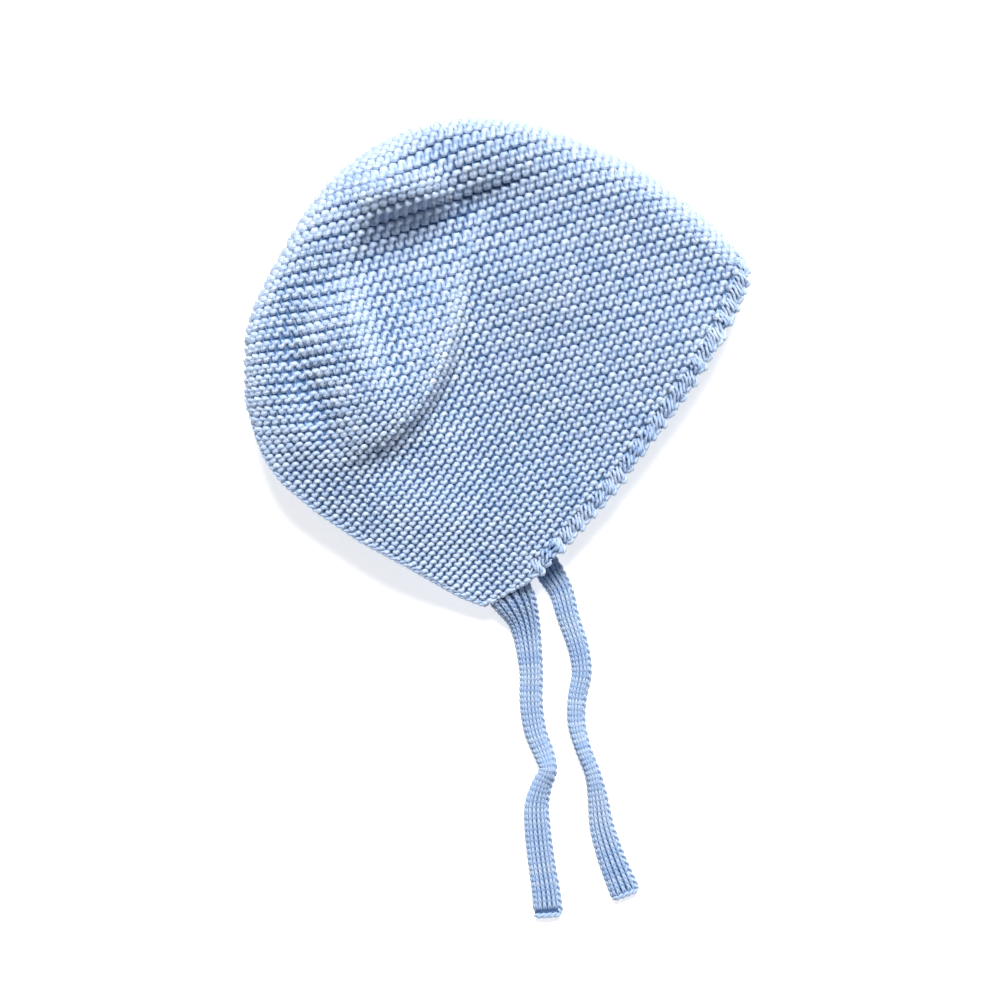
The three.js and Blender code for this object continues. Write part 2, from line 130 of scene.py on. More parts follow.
# Ties from root to end: x, y, width (shares of SPAN), lift of the underside (share of LOFT).
TIE_NEAR = np.array([
    (0.0223, -0.1426, 0.096, 0.13), (0.0368, -0.1681, 0.084, 0.09), (0.05, -0.2, 0.065, 0.03),
    (0.058, -0.24, 0.055, 0), (0.064, -0.3, 0.048, 0), (0.064, -0.36, 0.047, 0),
    (0.072, -0.415, 0.046, 0), (0.089, -0.46, 0.042, 0.02), (0.097, -0.49, 0.036, 0.05),
    (0.085, -0.52, 0.042, 0.02), (0.075, -0.56, 0.05, 0), (0.077, -0.61, 0.054, 0),
    (0.084, -0.67, 0.055, 0), (0.094, -0.735, 0.058, 0), (0.098, -0.781, 0.062, 0),
])
TIE_FAR = np.array([
    (0.09, -0.084, 0.06, 0), (0.103, -0.108, 0.056, 0), (0.122, -0.14, 0.05, 0),
    (0.136, -0.19, 0.046, 0), (0.157, -0.255, 0.043, 0), (0.163, -0.3, 0.041, 0),
    (0.154, -0.35, 0.039, 0), (0.153, -0.4, 0.037, 0.01), (0.166, -0.45, 0.033, 0.03),
    (0.185, -0.5, 0.033, 0.03), (0.195, -0.55, 0.042, 0.01), (0.202, -0.6, 0.05, 0),
    (0.22, -0.66, 0.056, 0), (0.252, -0.74, 0.062, 0),
])

# Creases that the solids leave out. line: picture places. side: 1 where the high side is on its
# left, -1 on its right. up and wide: its rise (share of LOFT) and how far it takes to curve over
# (share of SPAN). down and fade: the same of the low side. ends: share where each end fades.
CREASES = [
    {  # under the crown roll
        "side": 1,
        "up": 0.065, "wide": 0.065, "down": 0.045, "fade": 0.055, "ends": 0.22,
        "line": [
            (336, 306), (345, 284), (353, 262), (363, 243), (377, 225), (397, 220), (419, 218),
            (440, 212), (458, 203), (478, 195), (502, 187), (530, 180), (562, 172),
        ],
    },
    {  # edge of the pouch
        "side": -1,
        "up": 0.085, "wide": 0.055, "down": 0.045, "fade": 0.045, "ends": 0.34,
        "line": [
            (472, 250), (469, 285), (463, 315), (458, 345), (452, 372), (440, 396), (424, 416),
            (406, 434), (386, 450), (362, 463), (332, 471), (300, 472),
        ],
    },
]
CREASE_LEAD = 0.004  # start of the high side's rise, before the line
CREASE_TAIL = 0.06  # where the rise has died away, past its width
CREASE_SOFT = 0.009  # half the width of the step down

# Lie of the knitted rows in the picture: place in picture steps, rise to the right in degrees,
# distance between rows in picture steps.
ROW_LIE = np.array([
    (560, 160, 24, 7.0), (560, 200, 24, 6.9), (640, 200, 19, 6.6), (620, 260, 15, 6.2),
    (680, 300, 10, 5.8), (700, 250, 7, 6.0), (740, 280, 6, 6.0), (560, 300, 19, 6.0),
    (560, 400, 13, 5.3), (600, 430, 14, 5.2), (500, 430, 8, 5.2), (520, 480, 6, 4.7),
    (560, 520, 7, 4.7), (420, 520, -3, 4.7), (450, 560, -5, 4.3), (360, 500, -9, 5.0),
    (300, 300, 14, 6.9), (340, 350, 15, 6.6), (250, 340, 12, 6.9), (300, 420, 16, 6.0),
    (400, 300, 11, 5.6), (420, 380, 12, 5.5), (330, 220, 20, 7.0), (400, 190, 23, 7.2),
    (480, 150, 25, 7.2), (470, 110, 26, 7.3), (540, 140, 25, 7.1), (640, 160, 21, 6.8),
])
ROW_START = (545, 380)  # picture place from which the rows are laid both ways
ROW_TRIES = 130  # half rows laid each way; those near the cloth are kept
ROW_STEPS = 2  # steps over which each half row is laid
ROWS_MIDDLE = (0.05, 0.25)  # plan place in the middle of the rows that are kept
ROWS_REACH = 0.75
ROW_STITCHES = 78  # stitches laid each way from the start
STITCH_PARTS = 2  # places laid for each stitch
STRETCH_STEP = 0.003  # plan distance over which the cloth's stretch is measured
STRETCH_LIMITS = (0.85, 1.8)

# Middle and reach of the valley between the crests, where the rows stand apart.
VALLEY = np.array([-0.37, 0.31])
VALLEY_REACH = np.array([0.09, 0.19])

# Shape of the cloth at the fold, and corners of the plan beyond it.
LEAST_TALL = 0.02  # least height of the fold's top over its widest line (share of LOFT)
UNDER_ROLL = 0.6  # roll depth under the widest line, as a share of the one over it
LEAST_OPEN = 0.05  # least distance out to the flat part of the far side
BEYOND = np.array([(-0.75, 0.3), (-0.6, 0.95), (0.3, 1.0), (0.72, 0.8)])

# Yarn, in metres unless a comment says otherwise.
TUBE_SIDES = 4
END_SHARE = 0.05  # radius at a strand's ends, to close them
SKIN = 0.0001  # how far the loops stay under the face
LOOP_POINT = 2.4  # the higher, the more briefly a loop comes to the face
PLAIN_PITCH = 0.0021  # row distance at which the yarn has its own thickness
PITCH_LIMITS = (0.92, 1.14)
BACK_THICK, FRONT_MORE = 0.76, 0.42  # thickness at the back of a loop, added at its front
STEEP_MOST = 1.35  # thickness where the near side falls away, to close the gaps
FLATTEST = 0.25  # least rise of a normal that is told apart there
NEAR_EDGE, PAST_FOLD = 0.35, 0.15  # how far past them a stitch still counts, in stitches
ROW_STRAY, SIDE_STRAY = 0.05, 0.4  # how far a stitch strays in rows, share of it sideways
THICK_STRAY, TONE_STRAY = 0.06, 0.55
LOOP_SHADE_SWING, TONE_MIDDLE = 4.4, 0.72  # painted shade: tone from the dark back of a loop to its lit front, and the place of tone 0
KNIT_SEEDS = {1: 11, -1: 12}  # by side
EDGE_SEEDS = {1: 31, -1: 32}
EDGE_STEP = 0.001  # between places of the edge (share of SPAN)
EDGE_PAST, CORD_PAST = 0.006, 0.002  # how far past the fold's widest line (shares of SPAN)
EDGE_STRAY = {"along": 0.2, "out": 0.35, "deep": 0.0002, "tone": 0.8}
EDGE_RIDGE = 0.0006
EDGE_THICK, EDGE_THICK_SWING = 0.39, 0.07  # radius, in shares of the yarn's width
# Middle tone of the edging, and the swing of painted shade that darkens its strands where they dip
# deepest.
EDGE_TONE, EDGE_SHADE_SWING = -0.3, 1.5
EDGE_PACE = 1.15  # rows of the side to each stitch of the edging
EDGE_PARTS = 12  # places along each stitch of the edging and the ties
# Strands of the face edging: distance out from the edge and its swing, lean and sideways swell (in
# stitches), depth under the face and its swing, dips to a stitch, scallop.
EDGE_STRANDS = (
    (-0.0044, 0.0014, 0.30, 0.12, 0.0014, 0.0006, 2, 0.0),
    (-0.0024, 0.0017, 0.50, 0.14, 0.0012, 0.0007, 2, 0.0003),
    (-0.0010, 0.0009, 0.2, 0.2, 0.0014, 0.0006, 1, 0.0005),
)
CORD_INSET = 0.0006
CORD_DEPTH = 0.0016
CORD_TURN = 0.0052  # length of one turn of the two strands of a cord
CORD_PARTS = 8  # places along each turn
CORD_WIND = 0.00055
CORD_THICK = 0.36  # radius of each strand, in shares of the yarn's width
CORD_STEP = 0.004
STRAP_PARTS, CORE_PARTS = 400, 90
TIE_PITCH = 0.0021  # height of one row of a tie
TIE_THICK_YARN = 0.28
TIE_SKIN = 0.0002
TIE_FIRST, TIE_SHORT = 0.6, 0.002  # place of the first row, end left free
TIE_SWELL = (0.2, 0.11)  # sideways swell of a stitch: twice and once in its length
TIE_MARGIN = 0.02
TIE_LIFT, TIE_SWING = -0.0006, 0.0007
TIE_TONE, TIE_SHADE_SWING = (-1.5, 0.4), 1.5  # middle and stray of a row's tone, and the swing of painted shade that darkens the yarn where it dips
SIDE_CORD = {"ends": (0.003, 0.001), "across": 0.1, "inset": 0.0007}
SIDE_CORD_WIND, SIDE_CORD_THICK, SIDE_CORD_PARTS = 0.0006, 1.25, 300
END_CORD = {"short": 0.0009, "margin": 0.03, "inset": 0.0011}
END_CORD_WIND, END_CORD_THICK, END_CORD_PARTS = 0.0005, 1.3, 40
END_CORD_TURN = 0.0046
SHEET_INSET = 0.0012
SHEET_DEPTH = 0.0017
SHEET_PAST = 0.004  # reach of the backing sheet past the widest line (share of SPAN)
SHEET_RAYS, SHEET_RINGS = 200, 44
CORE_INSET, CORE_LIFT = 0.0011, 0.0005
# Section of a tie's core: place across from -1 to 1, height as a share of the whole.
CORE_SECTION = (
    (1, 0.1), (0.9, 0), (0, 0), (-0.9, 0), (-1, 0.1),
    (-0.8, 0.7), (-0.4, 1), (0.4, 1), (0.8, 0.7), (1, 0.1),
)

# Finishes, light and camera.
YARN_FINISH = {
    "Roughness": 0.52,
    "Specular IOR Level": 1.0,
    "Sheen Weight": 0.1,
    "Sheen Roughness": 0.5,
    "Coat Weight": 0.35,
    "Coat Roughness": 0.45,
}
TONE_LIMIT = 2.5  # tones from minus this to this: shaded yarn to light yarn
TONE_FUZZ = 0.5  # how much the fuzz mixes the two
YARN_BUMP = {"Strength": 0.5, "Distance": 0.00022}
FUZZ_NOISE = {"Detail": 3.0, "Roughness": 0.6}
FUZZ_HEIGHT = 1.4
CLOTH_FINISH = {"Roughness": 0.95, "Specular IOR Level": 0.1}
CLOTH_DARK = 0.7
CLOTH_NOISE = {"Scale": 900.0}
CLOTH_BUMP = {"Strength": 0.6, "Distance": 0.0004}
FLOOR_FINISH = {"Roughness": 0.9, "Emission Color": (1, 1, 1, 1), "Emission Strength": 0.64}
FLOOR_HALF = 3.0
SUN_TURN, SUN_HEIGHT = math.radians(86), math.radians(49)
SUN_SPREAD = math.radians(27)
SUN_ENERGY = 4.45
SKY = {"Color": (0.98, 0.99, 1.0, 1), "Strength": 0.21}
LENS, SENSOR, CLIP_END = 153.6, 36.0, 20.0
EYE = (0.00066, 0.0077, 1.615)


def from_picture(px, py):
    """Picture places as plan places, in shares of SPAN."""
    x = (np.asarray(px, float) - PICTURE_ORIGIN[0]) * PIXEL
    y = (PICTURE_ORIGIN[1] - np.asarray(py, float)) * PIXEL
    return np.stack([x, y], -1)


def run_of(line):
    """Length along a line of places, from its start."""
    steps = np.linalg.norm(np.diff(line, axis=0), axis=1)
    return np.concatenate([[0], np.cumsum(steps)])


def along_line(at, run, line):
    """Places of a line at given lengths along it."""
    return np.stack([np.interp(at, run, line[:, i]) for i in range(line.shape[1])], -1)


def unit(v):
    """Vectors of length one in the same directions."""
    return v / (np.linalg.norm(v, axis=-1, keepdims=True) + 1e-12)


def quarter(v):
    """Plan directions turned a quarter to the right."""
    return np.stack([v[:, 1], -v[:, 0]], -1)


def spread(t, values):
    """One value for each stitch, mixed along the strand."""
    return np.interp(t, np.arange(len(values)) - 0.5, values)


def smooth_line(points, t, closed=False):
    """Centripetal curve through points at t from 0 to 1."""
    n = len(points)
    u = np.asarray(t, float) * (n if closed else n - 1)
    i = np.floor(u).astype(int)
    if not closed:
        i = np.clip(i, 0, n - 2)
    w = (u - i)[:, None]
    if closed:
        p0, p1, p2, p3 = (points[(i + k) % n] for k in (-1, 0, 1, 2))
    else:
        ext = np.vstack([2 * points[0] - points[1], points, 2 * points[-1] - points[-2]])
        p0, p1, p2, p3 = (ext[i + k] for k in (0, 1, 2, 3))
    spans = ((p0, p1), (p1, p2), (p2, p3))
    d = [np.sqrt(np.linalg.norm(b - a, axis=1))[:, None] for a, b in spans]
    d[1] = np.where(d[1] < 1e-4, 1.0, d[1])
    d[0] = np.where(d[0] < 1e-4, d[1], d[0])
    d[2] = np.where(d[2] < 1e-4, d[1], d[2])
    t1 = ((p1 - p0) / d[0] - (p2 - p0) / (d[0] + d[1]) + (p2 - p1) / d[1]) * d[1]
    t2 = ((p2 - p1) / d[1] - (p3 - p1) / (d[1] + d[2]) + (p3 - p2) / d[2]) * d[1]
    return p1 + t1 * w + (3 * (p2 - p1) - 2 * t1 - t2) * w**2 + (2 * (p1 - p2) + t1 + t2) * w**3


def crease_rise(x, y, crease):
    """Rise of the cloth beside one crease, as a share of LOFT."""
    line = from_picture(*np.array(crease["line"], float).T)
    best = np.full(x.shape, NEVER)
    off = np.zeros(x.shape)
    at = np.zeros(x.shape)
    for i, (a, b) in enumerate(zip(line[:-1], line[1:])):
        d = b - a
        t = np.clip(((x - a[0]) * d[0] + (y - a[1]) * d[1]) / (d @ d), 0, 1)
        ex, ey = x - a[0] - t * d[0], y - a[1] - t * d[1]
        far = np.hypot(ex, ey)
        sign = np.where(d[0] * (y - a[1]) - d[1] * (x - a[0]) > 0, 1, -1)
        closer = far < best
        best = np.where(closer, far, best)
        off = np.where(closer, sign * far, off)
        at = np.where(closer, (i + t) / (len(line) - 1), at)
    off = off * crease["side"]
    wide = crease["wide"]
    w = np.clip((off + CREASE_LEAD) / wide, 0, 1)
    tail = np.exp(-((np.maximum(0, off - wide) / CREASE_TAIL) ** 2))
    high = crease["up"] * np.sin(math.pi / 2 * w) * tail
    step = 1 + np.exp(np.clip(off / CREASE_SOFT, -30, 30))
    low = -crease["down"] * np.exp(np.minimum(0, off) / crease["fade"]) / step
    ends = np.clip(at / crease["ends"], 0, 1) * np.clip((1 - at) / crease["ends"], 0, 1)
    return (high + low) * ends * ends * (3 - 2 * ends)


# The fold outline by direction from MIDDLE.
_t = np.arange(1400) / 1400
_rim = smooth_line(OUTLINE[:, :2], _t, True) - MIDDLE
_roll = smooth_line(OUTLINE[:, 2:], _t, True)
_order = np.argsort(np.arctan2(_rim[:, 1], _rim[:, 0]))
RIM_TURN = np.arctan2(_rim[:, 1], _rim[:, 0])[_order]
RIM_FAR = np.hypot(_rim[:, 0], _rim[:, 1])[_order]
RIM_ROLL = _roll[_order, 0]
RIM_HIP = _roll[_order, 1]


def near_height(x, y):
    """Height of the near side at a plan place, as a share of LOFT."""
    total = np.zeros_like(x)
    weight = np.zeros_like(x)
    for lx, ly, height in LEVELS:
        w = np.exp(-((x - lx) ** 2 + (y - ly) ** 2) / (2 * LEVEL_REACH**2)) + 1e-9
        total += w * height
        weight += w
    h = total / weight
    for ax, ay, cx, cy, bend, rise, left, right in FOLDS:
        length = math.hypot(cx - ax, cy - ay)
        ux, uy = (cx - ax) / length, (cy - ay) / length
        along = ((x - ax) * ux + (y - ay) * uy) / length
        off = (y - ay) * ux - (x - ax) * uy - bend * (1 - (2 * along - 1) ** 2)
        width = np.where(off > 0, left, right)
        h += FOLD_DEPTH * rise * np.exp(
            -(((along - 0.5) / FOLD_HALF) ** 4) - (off / width) ** 2
        )
    for crease in CREASES:
        h += crease_rise(x, y, crease)
    return h


def fold_beside(flat):
    """The fold in the direction of a flat place, in shares of SPAN.

    Returns the distance out of the place, its direction's x and y, the distance out of the fold's
    widest line, the roll depth, the line's height (share of LOFT) and the arc from it to the top.
    """
    d = flat - MIDDLE
    out = np.hypot(d[..., 0], d[..., 1]) + 1e-9
    turn = np.arctan2(d[..., 1], d[..., 0])
    far, roll, hip = (
        np.interp(turn, RIM_TURN, table, period=2 * math.pi)
        for table in (RIM_FAR, RIM_ROLL, RIM_HIP)
    )
    cx, cy = d[..., 0] / out, d[..., 1] / out
    top = near_height(MIDDLE[0] + (far - roll) * cx, MIDDLE[1] + (far - roll) * cy)
    tall = np.maximum(LEAST_TALL, top - hip) * LOFT / SPAN
    over_arc = math.pi / 2 * np.sqrt((roll**2 + tall**2) / 2)
    return out, cx, cy, far, roll, hip, over_arc


def rim_room(flat):
    """How far a flat place is from the fold's widest line, along the cloth."""
    out, _, _, far, roll, _, over_arc = fold_beside(flat)
    return far - roll + over_arc - out


def place(flat, side):
    """Where a place of the unrolled cloth lies on the bonnet, in metres. side: 1 near, -1 far.

    flat is x, y in shares of SPAN, with the rolled fold opened out flat round the middle.
    """
    out, cx, cy, far, roll, hip, over_arc = fold_beside(flat)
    low = UNDER_ROLL * roll
    under_arc = math.pi / 2 * np.sqrt((low**2 + (hip * LOFT / SPAN) ** 2) / 2)
    q = (far + over_arc - roll - out) * side
    on_top = q >= over_arc
    over = (q >= 0) & ~on_top
    under = (q < 0) & (q > -under_arc)
    a_over = np.clip(q / over_arc, 0, 1) * math.pi / 2
    a_under = np.clip(1 + q / under_arc, 0, 1) * math.pi / 2
    reach = np.where(on_top, far - roll - (q - over_arc), 0.0)
    reach = np.where(over, far - roll * (1 - np.cos(a_over)), reach)
    reach = np.where(under, far - low * (1 - np.sin(a_under)), reach)
    open_far = np.maximum(LEAST_OPEN, far + over_arc - roll - under_arc)
    reach = np.where(~(on_top | over | under), (far - low) * out / open_far, reach)
    x = MIDDLE[0] + reach * cx
    y = MIDDLE[1] + reach * cy
    h = near_height(x, y)
    z = np.where(on_top, h, 0.0)
    z = np.where(over, hip + (h - hip) * np.sin(a_over), z)
    z = np.where(under, hip * (1 - np.cos(a_under)), z)
    return np.stack([x * SPAN, y * SPAN, z * LOFT], -1) + SHIFT


def outward(flat, side, step=0.004):
    """Outward unit normals of the cloth."""
    du = place(flat + (step, 0), side) - place(flat - (step, 0), side)
    dv = place(flat + (0, step), side) - place(flat - (0, step), side)
    return unit(np.cross(du, dv) * side)


def powers(x, y, dx=0, dy=0):
    """Products of powers of x and y up to the third, or their slopes in x or y."""
    cols = []
    for i in range(4):
        for j in range(4 - i):
            if i + j == 0:
                continue
            if dx:
                cols.append(i * x ** max(i - 1, 0) * y**j)
            elif dy:
                cols.append(j * x**i * y ** max(j - 1, 0))
            else:
                cols.append(x**i * y**j)
    return np.stack(cols, -1)


# The row number as a smooth field over the unrolled cloth, fitted to ROW_LIE. It grows upwards.
_at = from_picture(ROW_LIE[:, 0], ROW_LIE[:, 1])
_slope = np.radians(ROW_LIE[:, 2])
_step = ROW_LIE[:, 3] * PIXEL
_fit = np.vstack([powers(_at[:, 0], _at[:, 1], dx=1), powers(_at[:, 0], _at[:, 1], dy=1)])
_aim = np.concatenate([-np.sin(_slope) / _step, np.cos(_slope) / _step])
ROW_FIELD = np.linalg.lstsq(_fit, _aim, rcond=None)[0]


def row_at(flat):
    """Row number at a flat place."""
    return powers(flat[..., 0], flat[..., 1]) @ ROW_FIELD


def row_slope(flat):
    """Growth of the row number in x and y at a flat place."""
    x, y = flat[..., 0], flat[..., 1]
    return np.stack([powers(x, y, dx=1) @ ROW_FIELD, powers(x, y, dy=1) @ ROW_FIELD], -1)


def lay_rows(side):
    """Places of the unrolled cloth on half rows and half stitches.

    Returns the row number of each line and its flat places, with the start in the middle column.
    """
    start = from_picture(*ROW_START)
    lines = {0: start}
    for way in (1, -1):
        p = start.copy()
        for k in range(1, ROW_TRIES):
            for _ in range(ROW_STEPS):
                g = row_slope(p)
                p = p + g / (g @ g) * (0.5 / ROW_STEPS) * way
            lines[k * way] = p.copy()
    spine = np.array([lines[k] for k in sorted(lines)])
    spine = spine[np.abs(spine - ROWS_MIDDLE).max(axis=1) < ROWS_REACH]
    target = row_at(spine)
    cols = [spine]
    for way in (1, -1):
        p = spine.copy()
        row = []
        for _ in range(ROW_STITCHES * STITCH_PARTS):
            g = row_slope(p)
            along = quarter(g)
            along = along / np.linalg.norm(along, axis=1, keepdims=True) * way
            moved = place(p + along * STRETCH_STEP, side) - place(p, side)
            stretch = np.linalg.norm(moved, axis=1) / (STRETCH_STEP * SPAN)
            step = STITCH / SPAN / STITCH_PARTS / np.clip(stretch, *STRETCH_LIMITS)
            p = p + along * step[:, None]
            g = row_slope(p)
            p = p + g * ((target - row_at(p)) / (g * g).sum(1))[:, None]
            row.append(p.copy())
        cols = cols + row if way == 1 else row[::-1] + cols
    return target, np.stack(cols, 1)


def pick(grid, rows, cols):
    """Places between the grid's own, by straight mixing."""
    rows = np.clip(rows, 0, grid.shape[0] - 1.001)
    cols = np.clip(cols, 0, grid.shape[1] - 1.001)
    i, j = np.floor(rows).astype(int), np.floor(cols).astype(int)
    a, b = (rows - i)[:, None], (cols - j)[:, None]
    low = grid[i, j] * (1 - b) + grid[i, j + 1] * b
    high = grid[i + 1, j] * (1 - b) + grid[i + 1, j + 1] * b
    return low * (1 - a) + high * a


def inside(flat, loop):
    """True where a flat place is inside a closed line."""
    x, y = flat[..., 0], flat[..., 1]
    hit = np.zeros(x.shape, bool)
    for (ax, ay), (bx, by) in zip(loop, np.roll(loop, -1, axis=0)):
        cross = (ay > y) != (by > y)
        at = (bx - ax) * (y - ay) / (by - ay + 1e-15) + ax
        hit ^= cross & (x < at)
    return hit


def nearest(flat, loop):
    """Distance to a closed line and the nearest place on it."""
    best = np.full(flat.shape[:-1], NEVER)
    spot = flat.copy()
    for a, b in zip(loop, np.roll(loop, -1, axis=0)):
        d = b - a
        t = np.clip(((flat - a) @ d) / (d @ d + 1e-15), 0, 1)
        p = a + t[..., None] * d
        far = np.linalg.norm(flat - p, axis=-1)
        closer = far < best
        best = np.where(closer, far, best)
        spot = np.where(closer[..., None], p, spot)
    return best, spot


def edge_line(table, side, back=0.0):
    """An edge's plan line on one side, drawn back into the cloth by a share of SPAN."""
    line = table[:, :2] if side > 0 else table[:, 2:4]
    if not back:
        return line
    d = np.gradient(table[:, :2], axis=0)
    d = d / np.linalg.norm(d, axis=1, keepdims=True)
    return line + quarter(d) * back


def cloth_loop(side, inset):
    """Closed plan line round one side's cloth, drawn in at the face by a share of SPAN."""
    face = edge_line(FACE_EDGE, side, inset)
    return np.vstack([face, edge_line(CHIN_EDGE, side), edge_line(NECK_EDGE, side), BEYOND])


def added(name, data):
    """A new object of the scene."""
    obj = bpy.data.objects.new(name, data)
    bpy.context.scene.collection.objects.link(obj)
    return obj


# Yarn pieces. Each strand is a grid shape that an operator makes, wrapped round its line.
def wrapped(name, strands, owner, material, tone=None):
    """One mesh of many grids, laid on the (n, m, 3) arrays of strands."""
    bm = bmesh.new()
    for p in strands:
        n, m = p.shape[:2]
        bmesh.ops.create_grid(bm, x_segments=m - 1, y_segments=n - 1, size=1.0)
    mesh = bpy.data.meshes.new(name)
    bm.to_mesh(mesh)
    bm.free()
    co = np.zeros(len(mesh.vertices) * 3, np.float32)
    mesh.vertices.foreach_get("co", co)
    co = co.reshape(-1, 3)
    length = np.zeros(len(co), np.float32)
    round_ = np.zeros(len(co), np.float32)
    shade = np.zeros(len(co), np.float32)
    at = 0
    for k, p in enumerate(strands):
        n, m = p.shape[:2]
        block = co[at:at + n * m]
        ix = np.rint((block[:, 0] + 1) / 2 * (m - 1)).astype(int)
        iy = np.rint((block[:, 1] + 1) / 2 * (n - 1)).astype(int)
        length[at:at + n * m] = run_of(p.mean(axis=1))[iy]
        round_[at:at + n * m] = ix / (m - 1)
        if tone is not None:
            shade[at:at + n * m] = tone[k][iy]
        co[at:at + n * m] = p[iy, ix]
        at += n * m
    mesh.vertices.foreach_set("co", co.ravel())
    # The tone attribute holds a random stray and painted shade.
    for label, values in (("length", length), ("round", round_), ("tone", shade)):
        mesh.attributes.new(label, "FLOAT", "POINT").data.foreach_set("value", values)
    mesh.polygons.foreach_set("use_smooth", np.ones(len(mesh.polygons), bool))
    mesh.update()
    obj = added(name, mesh)
    mesh.materials.append(material)
    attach(obj, "root")
    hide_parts(owner)
    return obj


def tube(line, normal, radius):
    """Rings round a line: (n, TUBE_SIDES + 1, 3), their seam away from normal."""
    along = unit(np.gradient(line, axis=0))
    across = unit(np.cross(along, normal))
    up = unit(np.cross(across, along))
    turn = np.linspace(0, 2 * math.pi, TUBE_SIDES + 1) - math.pi / 2
    r = np.array(np.broadcast_to(np.asarray(radius, float), (len(line),)))[:, None, None]
    r[[0, -1]] *= END_SHARE
    ring = (
        np.cos(turn)[None, :, None] * across[:, None]
        + np.sin(turn)[None, :, None] * up[:, None]
    )
    return line[:, None] + ring * r


def stitch_rows(side, per_stitch, sizes):
    """The garter-stitch yarn of one side: tubes, and the tone along each, which darkens the back
    of each loop with painted shade.
    """
    target, grid = lay_rows(side)
    lines = np.arange(len(target))
    loop = cloth_loop(side, (BAND + BAND_GAP) / SPAN)
    stitch = STITCH / SPAN
    zero = ROW_STITCHES * STITCH_PARTS
    k = np.arange(1 - ROW_STITCHES, ROW_STITCHES - 1)
    strands, tones_and_shade = [], []
    rng = np.random.default_rng(KNIT_SEEDS[side])
    for j in range(math.ceil(target.min()) + 1, math.floor(target.max()) - 1):
        r = np.interp(j, target, lines)
        flat_mid = pick(grid, np.full(len(k), r), (k + 0.5) * STITCH_PARTS + zero)
        far, _ = nearest(flat_mid, loop)
        on_side = inside(flat_mid, loop) | (far < NEAR_EDGE * stitch)
        idx = np.where(on_side & (rim_room(flat_mid) > -PAST_FOLD * stitch))[0]
        if not len(idx):
            continue
        for run in np.split(idx, np.where(np.diff(idx) > 1)[0] + 1):
            count = len(run)
            t = np.arange(count * per_stitch + 1) / per_stitch
            phase = 2 * math.pi * t
            sign = 1 if j % 2 == 0 else -1
            front = (1 + sign * np.cos(phase)) / 2  # 1 where the loop comes to the face
            w = spread(t, rng.normal(0, ROW_STRAY, count + 2))
            s = k[run[0]] + t + sizes.loop_swell * np.sin(2 * phase) + SIDE_STRAY * w
            cols = s * STITCH_PARTS + zero
            off = (pick(grid, np.full(len(s), r), cols) - VALLEY) / VALLEY_REACH
            reach = sizes.loop_reach - sizes.row_opening * np.exp(-(off**2).sum(axis=1))
            v = j - reach * np.cos(phase) + sizes.loop_tilt * sign * np.sin(phase) + w
            flat = pick(grid, np.interp(v, target, lines), cols)
            _, spot = nearest(flat, loop)
            flat = np.where(inside(flat, loop)[:, None], flat, spot)
            n = outward(flat, side)
            rise = sizes.loop_depth * (2 * front**LOOP_POINT - 1)
            lift = -sizes.cloth_depth / 2 - SKIN + rise
            line = place(flat, side) + n * lift[:, None]
            steep = 1.0
            if side > 0:
                steep = np.clip(1 / np.maximum(FLATTEST, np.abs(n[:, 2])), 1, STEEP_MOST)
            pitch = SPAN / np.linalg.norm(row_slope(flat), axis=1)
            thick = np.clip(pitch / PLAIN_PITCH, *PITCH_LIMITS)
            plump = thick * (BACK_THICK + FRONT_MORE * front)
            plump = plump + THICK_STRAY * spread(t, rng.normal(0, 1, count + 2))
            strands.append(tube(line, n, sizes.yarn_width / 2 * steep * plump))
            # Tone: a random stray, plus painted shade that darkens each loop where it dips into
            # the cloth.
            noise = spread(t, rng.normal(0, 1, count + 2))
            tones_and_shade.append(TONE_STRAY * noise + LOOP_SHADE_SWING * (front - TONE_MIDDLE))
    return strands, tones_and_shade


def twisted(line, normal, turn_length, wind, radius):
    """Two strands wound round a line."""
    run = run_of(line)
    parts = max(CORD_PARTS, int(run[-1] / turn_length * CORD_PARTS))
    at = np.linspace(0, run[-1], parts)
    line = along_line(at, run, line)
    normal = unit(along_line(at, run, normal))
    along = unit(np.gradient(line, axis=0))
    across = unit(np.cross(along, normal))
    strands = []
    for start in (0.0, math.pi):
        a = (2 * math.pi * at / turn_length + start)[:, None]
        strand = line + wind * (np.cos(a) * across + np.sin(a) * normal)
        strands.append(tube(strand, normal, radius))
    return strands


def on_cloth(flat, side, depth):
    """A line on the cloth, so far under its face, and the cloth's normals."""
    n = outward(flat, side)
    return place(flat, side) - n * np.reshape(depth, (-1, 1)), n


def dense(line, step):
    """The same line with places at equal steps."""
    run = run_of(line)
    return along_line(np.arange(0, run[-1], step), run, line)


def shade_sheet_rings(side):
    """Rings of the sheet between the two faces of the knitting, whose dark blue is painted shade
    seen between the stitches.
    """
    loop = cloth_loop(side, SHEET_INSET / SPAN)
    turn = np.linspace(-math.pi, math.pi, SHEET_RAYS + 1)
    way = np.stack([np.cos(turn), np.sin(turn)], -1)
    far = rim_room(MIDDLE + way * 1e-6) + SHEET_PAST
    for a, b in zip(loop, np.roll(loop, -1, axis=0)):
        d = b - a
        from_middle = a - MIDDLE
        den = way[:, 0] * d[1] - way[:, 1] * d[0] + 1e-15
        r = (from_middle[0] * d[1] - from_middle[1] * d[0]) / den
        t = (from_middle[0] * way[:, 1] - from_middle[1] * way[:, 0]) / den
        hit = (r > 0) & (t >= 0) & (t <= 1)
        far = np.where(hit, np.minimum(far, r), far)
    share = np.linspace(0, 1, SHEET_RINGS)
    flat = MIDDLE + way[:, None] * (far[:, None] * share)[..., None]
    p = place(flat, side) - outward(flat, side) * SHEET_DEPTH
    return p if side < 0 else p[::-1]


